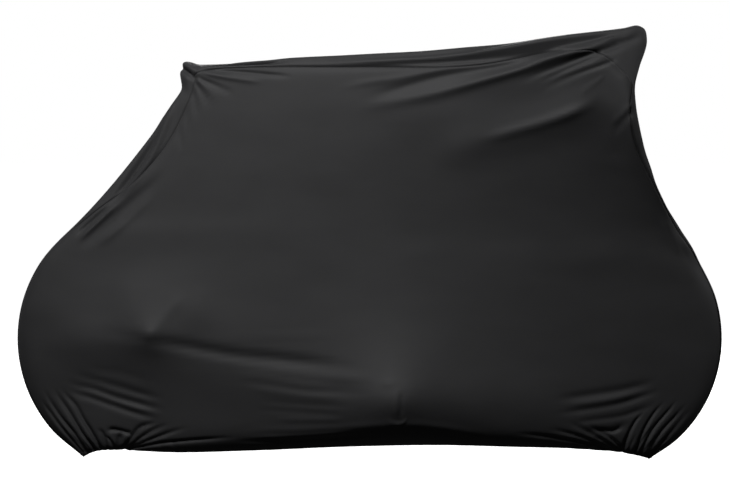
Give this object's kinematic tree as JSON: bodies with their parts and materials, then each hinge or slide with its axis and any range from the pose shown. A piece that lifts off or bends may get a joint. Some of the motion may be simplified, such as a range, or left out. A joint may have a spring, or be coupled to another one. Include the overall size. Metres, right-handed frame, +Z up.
{
  "type": "bicycle cover",
  "caption": "Fitted black stretch-knit cover worn over a bicycle: two side panels and a tapering centre strip, with a gathered elastic hem open below.",
  "frame": {"origin": "on the cloth's inner face under the top, half way along its length", "axes": "+X forward along the length, -Y the near side that the picture shows, +Z up"},
  "size_m": [1.6932, 0.488, 1.0288],
  "materials": {
    "knit": "matt, fine stretch knit"
  },
  "bodies": {
    "root": {"near_panel": "knit", "far_panel": "knit", "centre_strip": "knit"}
  },
  "joints": []
}
